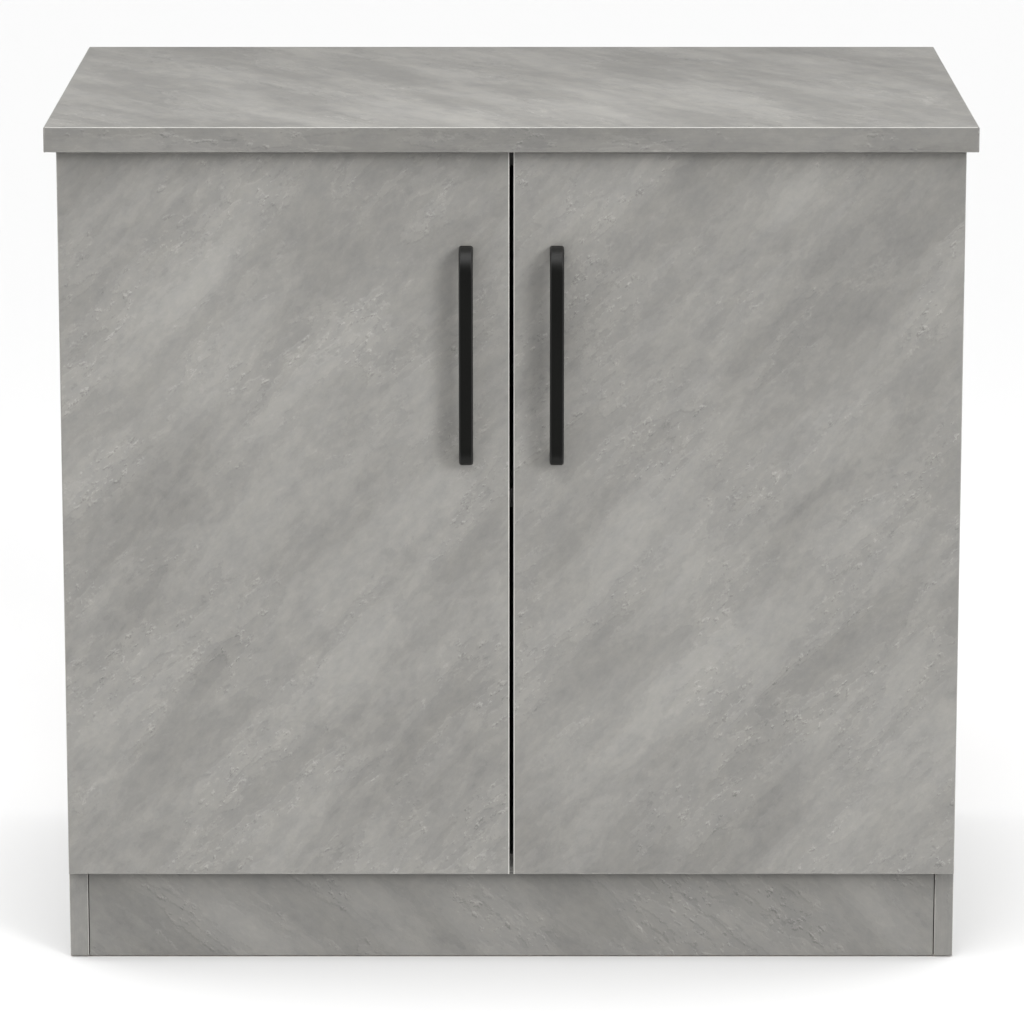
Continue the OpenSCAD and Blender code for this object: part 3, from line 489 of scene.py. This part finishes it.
# Which look each node has. The three numbers of a board or band are the place in the endless print that
# it was cut from.
looks = {
    "worktop": board("worktop_decor", ON_TOP, "Z", TOP_TONE, (0.3, 0.1, 0.7)),
    "worktop_front_band": edge_band("worktop_front_edge", ALONG_X, TOP_FRONT_TONE, (0.2, 0.6, 0.1), ARRIS_HIGHLIGHT_STRONG),
    "worktop_left_band": edge_band("worktop_left_edge", ALONG_Y, TOP_END_TONE, (0.5, 0.3, 0.2)),
    "worktop_right_band": edge_band("worktop_right_edge", ALONG_Y, TOP_END_TONE, (0.1, 0.9, 0.4)),
    "left_side_panel": board("left_side_decor", IN_YZ, "X", TONE, (0.15, 0.4, 0.3)),
    "right_side_panel": board("right_side_decor", IN_YZ, "X", TONE, (0.75, 0.8, 0.5)),
    "left_side_band": edge_band("left_side_edge", ALONG_Z, LEFT_BAND_TONE, (0.1, 0.2, 0.6), CORNER_ARRIS_HIGHLIGHT),
    "right_side_band": edge_band("right_side_edge", ALONG_Z, RIGHT_BAND_TONE, (0.4, 0.7, 0.2), CORNER_ARRIS_HIGHLIGHT),
    "bottom_panel": board("bottom_decor", ALONG_X, "Z", TONE, (0.9, 0.3, 0.8)),
    "bottom_panel_band": edge_band("bottom_edge", ALONG_X, TONE, (0.3, 0.1, 0.5)),
    "front_rail": board("front_rail_decor", ALONG_X, "Z", TONE, (0.6, 0.5, 0.1)),
    "front_rail_band": edge_band("front_rail_edge", ALONG_X, TONE, (0.8, 0.2, 0.6)),
    "rear_rail": board("rear_rail_decor", ALONG_X, "Z", TONE, (0.2, 0.8, 0.9)),
    "shelf": board("shelf_decor", ALONG_X, "Z", TONE, (0.7, 0.6, 0.3)),
    "shelf_band": edge_band("shelf_edge", ALONG_X, TONE, (0.9, 0.4, 0.7)),
    "plinth_board": board("plinth_decor", ON_PLINTH, "Y", PLINTH_TONE, (0.35, 0.2, 0.9)),
    "left_door_panel": board("left_door_decor", IN_XZ, "Y", TONE, (0.10, 0.05, 0.35), DOOR_CONTRAST),
    "right_door_panel": board("right_door_decor", IN_XZ, "Y", TONE, (0.65, 0.55, 0.80), DOOR_CONTRAST),
    "left_door_edge_bands": edge_band("left_door_edge", ALONG_Z, TONE, (0.5, 0.5, 0.9), ARRIS_HIGHLIGHT_STRONG,
                                      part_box("left_door_edge_bands")[1][0]),
    "right_door_edge_bands": edge_band("right_door_edge", ALONG_Z, TONE, (0.2, 0.9, 0.3), ARRIS_HIGHLIGHT_MID,
                                       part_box("right_door_edge_bands")[0][0]),
    "back_panel": hardboard(),
    "dowels": beech(),
    "floor_glides": nylon(),
}
black = powder_coat()
nickel = metal("nickel_plate", (0.70, 0.68, 0.64), 0.26)
bright = metal("bright_steel", (0.66, 0.66, 0.67), 0.24, (0.0022, 0.0004, 0.0004))
galvanised = metal("zinc_plate", (0.60, 0.61, 0.62), 0.34, (0.006, 0.0009, 0.0009), spangle=0.10)
diecast = metal("die_cast_zinc", (0.47, 0.475, 0.48), 0.44, 0.0016, depth=0.00010)
dull = metal("nail_steel", (0.36, 0.36, 0.37), 0.50, (0.0012, 0.0006, 0.0006))
looks.update({"back_nails": dull, "shelf_supports": nickel, "plinth_brackets": galvanised,
              "plinth_screws": bright, "cam_bolts": bright, "cam_locks": diecast, "worktop_screws": bright})
fittings = {"handle": black, "handle_screws": bright, "door_bumpers": clear_rubber(),
            "hinge_cups": nickel, "hinge_arms": nickel, "hinge_plates": diecast, "hinge_pins": bright,
            "hinge_plate_screws": bright, "hinge_arm_screws": bright, "hinge_cup_screws": bright}
for side, _ in SIDES:
    for fitting, look in fittings.items():
        looks[f"{side}_{fitting}"] = look

for name, obj in nodes.items():
    obj.data.materials.clear()
    obj.data.materials.append(looks[name])

# Fasteners
record = frame["record"]
body_of = {n: b for b, members in record["behaviour"]["bodies"].items() for n in members}
SAME_POINT = 1e-6
SAME_LEVEL = 1e-5
# What lies further out than this share of a fastener's radius belongs to its head
HEAD_SHARE = 0.9


def solids_of(obj):
    """The corner points of each separate solid in a CAD node."""
    bm = bmesh.new()
    bm.from_mesh(obj.data)
    bmesh.ops.remove_doubles(bm, verts=bm.verts, dist=SAME_POINT)
    left = set(bm.verts)
    groups = []
    while left:
        stack = [left.pop()]
        group = []
        while stack:
            v = stack.pop()
            group.append(v.co.copy())
            for e in v.link_edges:
                w = e.other_vert(v)
                if w in left:
                    left.discard(w)
                    stack.append(w)
        groups.append(group)
    bm.free()
    return sorted(groups, key=lambda g: tuple(round(c, 5) for c in sum(g, Vector()) / len(g)))


def axis_of(i):
    return Vector([1.0 if i == k else 0.0 for k in range(3)])


def measure(points):
    """Axis, bearing point and sizes of a fastener: head radius and height, shank radius and length."""
    low = Vector([min(p[i] for p in points) for i in range(3)])
    high = Vector([max(p[i] for p in points) for i in range(3)])
    size = high - low
    along = max(range(3), key=lambda i: size[i])
    middle = (low + high) / 2
    far = [(p[along], ((p - middle) - (p - middle)[along] * axis_of(along)).length) for p in points]
    head_r = max(r for _, r in far)
    head = [a for a, r in far if r > HEAD_SHARE * head_r]
    out = 1.0 if sum(head) / len(head) > middle[along] else -1.0
    end = high[along] if out > 0 else low[along]
    tip = low[along] if out > 0 else high[along]
    bearing = min(head) if out > 0 else max(head)
    shank_r = max(r for a, r in far if abs(a - tip) < SAME_LEVEL)
    place = middle.copy()
    place[along] = bearing
    return axis_of(along) * out, place, head_r, abs(end - bearing), shank_r, abs(bearing - tip)


def lathe(profile, segments=40):
    """A closed body turned about Z from its profile of radii and heights."""
    bm = bmesh.new()
    rings = []
    for r, z in profile:
        if r == 0.0:
            rings.append([bm.verts.new((0.0, 0.0, z))])
        else:
            rings.append([bm.verts.new((r * math.cos(t), r * math.sin(t), z))
                          for t in (2 * math.pi * k / segments for k in range(segments))])
    for a, b in zip(rings, rings[1:]):
        for k in range(segments):
            j = (k + 1) % segments
            corners = [a[k % len(a)], a[j % len(a)], b[j % len(b)], b[k % len(b)]]
            bm.faces.new(list(dict.fromkeys(corners)))
    bmesh.ops.recalc_face_normals(bm, faces=bm.faces)
    return bm


SQUARE = ((-1, -1), (1, -1), (1, 1), (-1, 1))


def wing(width, top, bottom, high, deep):
    """One tapered bar of a cross recess."""
    bm = bmesh.new()
    rows = [[bm.verts.new((x * length / 2, y * width / 2, z)) for x, y in SQUARE]
            for length, z in ((bottom, deep), (top, high))]
    bm.faces.new(rows[0][::-1])
    bm.faces.new(rows[1])
    for k in range(4):
        j = (k + 1) % 4
        bm.faces.new((rows[0][k], rows[0][j], rows[1][j], rows[1][k]))
    return bm


def temporary(bm, name, turn=0.0):
    """An object for a boolean, which is removed after it."""
    mesh = bpy.data.meshes.new(name)
    bm.to_mesh(mesh)
    bm.free()
    obj = bpy.data.objects.new(name, mesh)
    obj.rotation_euler = (0.0, 0.0, turn)
    scene.collection.objects.link(obj)
    return obj


# Pitch, taper at the tip and core as shares of the shank's radius, and the tip as a share of the core
WOOD_THREAD = (0.75, 2.2, 0.66, 0.25)
MACHINE_THREAD = (0.42, 0.4, 0.80, 0.80)
# Along one pitch: where the crest starts and ends, and where the flank is back at the core
CREST = (0.42, 0.52, 0.94)
# As shares of the shank's radius: the bevel of the tip, and how far below the head the thread and the
# core end
BEVEL, THREAD_END, CORE_END = 0.02, 0.6, 0.5
# Radii at the bearing face as shares of the shank's and the head's, and the chamfer below the rim
NECK, SEAT, CHAMFER = 0.98, 0.93, 0.10
# The domed head: its rim and its dome as shares of the head, and how far the dome's arc goes
RIM, DOME = 0.34, 0.66
DOME_ARC = math.radians(74.0)
DOME_STEPS = 8
# The cross recess: its width and its lengths at the top and at the floor, as shares of the head's radius,
# and the places of its top and floor as shares of the head's height
RECESS = (0.27, 1.12, 0.50)
RECESS_TOP, RECESS_FLOOR = 1.05, 0.12
WELD = 2e-6


def screw_profile(head_r, head_h, shank_r, shank_l, thread):
    """Half the outline of a pan head screw, from its tip to the top of its head."""
    pitch, taper, core = (share * shank_r for share in thread[:3])
    profile = [(0.0, -shank_l), (core * thread[3], -shank_l + BEVEL * shank_r)]
    z = -shank_l + taper
    while z + pitch < -THREAD_END * shank_r:
        profile.append((core, z))
        profile += [(r, z + share * pitch) for r, share in zip((shank_r, shank_r, core), CREST)]
        z += pitch
    profile += [(core, -CORE_END * shank_r), (shank_r * NECK, 0.0), (head_r * SEAT, 0.0),
                (head_r, CHAMFER * head_h)]
    for k in range(DOME_STEPS + 1):
        t = k / DOME_STEPS * DOME_ARC
        rise = DOME * math.sin(t) / math.sin(DOME_ARC)
        profile.append((head_r * (RIM + DOME * math.cos(t)), head_h * (RIM + rise)))
    return profile + [(0.0, head_h)]


def screw_shape(head_r, head_h, shank_r, shank_l, thread):
    """A pan head screw with thread and a cross recess, its bearing face at z = 0 and its head above."""
    body = temporary(lathe(screw_profile(head_r, head_h, shank_r, shank_l, thread)), "screw_blank")
    cutters = []
    for turn in (0.0, math.pi / 2):
        bar = wing(*(share * head_r for share in RECESS), RECESS_TOP * head_h, RECESS_FLOOR * head_h)
        cutters.append(temporary(bar, "recess", turn + math.pi / 4))
    for cutter in cutters:
        cut = body.modifiers.new("recess", "BOOLEAN")
        cut.operation = "DIFFERENCE"
        cut.solver = "EXACT"
        cut.object = cutter
    graph = bpy.context.evaluated_depsgraph_get()
    done = bpy.data.meshes.new_from_object(body.evaluated_get(graph))
    bm = bmesh.new()
    bm.from_mesh(done)
    bmesh.ops.remove_doubles(bm, verts=bm.verts, dist=WELD)
    bm.verts.index_update()
    points = [v.co.copy() for v in bm.verts]
    faces = [tuple(v.index for v in f.verts) for f in bm.faces]
    bm.free()
    for obj in [body] + cutters:
        bpy.data.objects.remove(obj)
    bpy.data.meshes.remove(done)
    return points, faces


# How far the first screw's recess is turned, and each further one beyond the one before it
FIRST_TURN = 1.1
NEXT_TURN = 0.7
SHARP = math.radians(32.0)
shapes = {}


def detailed_screws(node, thread):
    """Stands in for a node of plain screws: the same places and sizes, with threads and recessed heads."""
    points, faces = [], []
    for index, solid in enumerate(solids_of(nodes[node])):
        way, place, *sizes = measure(solid)
        key = (*(round(v, 5) for v in sizes), thread)
        if key not in shapes:
            shapes[key] = screw_shape(*sizes, thread)
        spin = Matrix.Rotation(FIRST_TURN + NEXT_TURN * index, 3, "Z")
        turn = way.to_track_quat("Z", "Y").to_matrix() @ spin
        start = len(points)
        points += [place + turn @ p for p in shapes[key][0]]
        faces += [tuple(start + i for i in f) for f in shapes[key][1]]
    mesh = bpy.data.meshes.new(node + "_detail")
    mesh.from_pydata(points, [], faces)
    mesh.shade_smooth()
    mesh.set_sharp_from_angle(angle=SHARP)
    mesh.materials.append(looks[node])
    obj = bpy.data.objects.new(node + "_detail", mesh)
    scene.collection.objects.link(obj)
    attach(obj, body_of[node])
    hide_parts(node)


for node in ("worktop_screws", "plinth_screws"):
    detailed_screws(node, WOOD_THREAD)
for side, _ in SIDES:
    detailed_screws(side + "_hinge_plate_screws", WOOD_THREAD)
    detailed_screws(side + "_hinge_cup_screws", WOOD_THREAD)
    detailed_screws(side + "_hinge_arm_screws", MACHINE_THREAD)
    detailed_screws(side + "_handle_screws", MACHINE_THREAD)

# Floor
FLOOR_HALF = 60.0
FLOOR_GREY = (0.68, 0.68, 0.68, 1.0)
floor_mesh = bpy.data.meshes.new("floor")
floor_mesh.from_pydata([(x * FLOOR_HALF, y * FLOOR_HALF, 0) for x, y in SQUARE], [], [(0, 1, 2, 3)])
floor = bpy.data.objects.new("floor", floor_mesh)
scene.collection.objects.link(floor)
matt = Shader("pale_floor")
floor.data.materials.append(matt.set(Base_Color=FLOOR_GREY, Roughness=0.9, Specular_IOR_Level=0.0))

# Sky: a dome that is brightest straight up, and a white haze above the horizon, so that no edge of the
# floor shows behind the cabinet
DOME_LIGHT = (0.10, 0.52)
HAZE_HEIGHT = (0.10, 0.16)
world = bpy.data.worlds.new("studio")
scene.world = world
world.use_nodes = True
background = world.node_tree.nodes["Background"]
sky = Graph(world.node_tree)
up = sky.axis(sky.coord.outputs["Generated"], "Z")
dome = sky.span(up, 0.0, 1.0, *DOME_LIGHT, smooth=False)
haze = sky.span(up, *HAZE_HEIGHT, 1.0, 0.0)
sky.feed(background.inputs["Strength"], sky.most(dome, haze))
background.inputs["Color"].default_value = (1.0, 1.0, 1.0, 1.0)


# Lamps
def sun(name, strength, spread, elevation, azimuth):
    """A soft distant light from the given height and side; azimuth 0 is from the front, 90 from the right."""
    data = bpy.data.lights.new(name, "SUN")
    data.energy = strength
    data.angle = math.radians(spread)
    obj = bpy.data.objects.new(name, data)
    e, a = math.radians(elevation), math.radians(azimuth)
    way = Vector((math.cos(e) * math.sin(a), -math.cos(e) * math.cos(a), math.sin(e)))
    obj.rotation_euler = way.to_track_quat("Z", "Y").to_euler()
    scene.collection.objects.link(obj)


def softbox(name, power, width, height, place, target):
    """A rectangular studio light that looks at a target."""
    data = bpy.data.lights.new(name, "AREA")
    data.shape = "RECTANGLE"
    data.size, data.size_y = width, height
    data.energy = power
    obj = bpy.data.objects.new(name, data)
    obj.location = place
    obj.rotation_euler = (Vector(place) - Vector(target)).to_track_quat("Z", "Y").to_euler()
    obj.visible_camera = False
    scene.collection.objects.link(obj)


sun("overhead", strength=1.12, spread=46.0, elevation=80.0, azimuth=180.0)
sun("key_right", strength=1.80, spread=18.0, elevation=19.0, azimuth=38.0)
sun("fill_left", strength=1.25, spread=50.0, elevation=40.0, azimuth=-42.0)
sun("front_high", strength=1.05, spread=44.0, elevation=46.0, azimuth=5.0)
softbox("over_worktop", power=5.25, width=1.2, height=0.25, place=(0.0, -0.30, 1.50),
        target=(0.0, -0.22, 0.86))
for side, x in SIDES:
    softbox("wash_" + side, power=9.8, width=1.0, height=1.6, place=(1.55 * x, 0.45, 1.05),
            target=(0.85 * x, 0.15, 0.0))
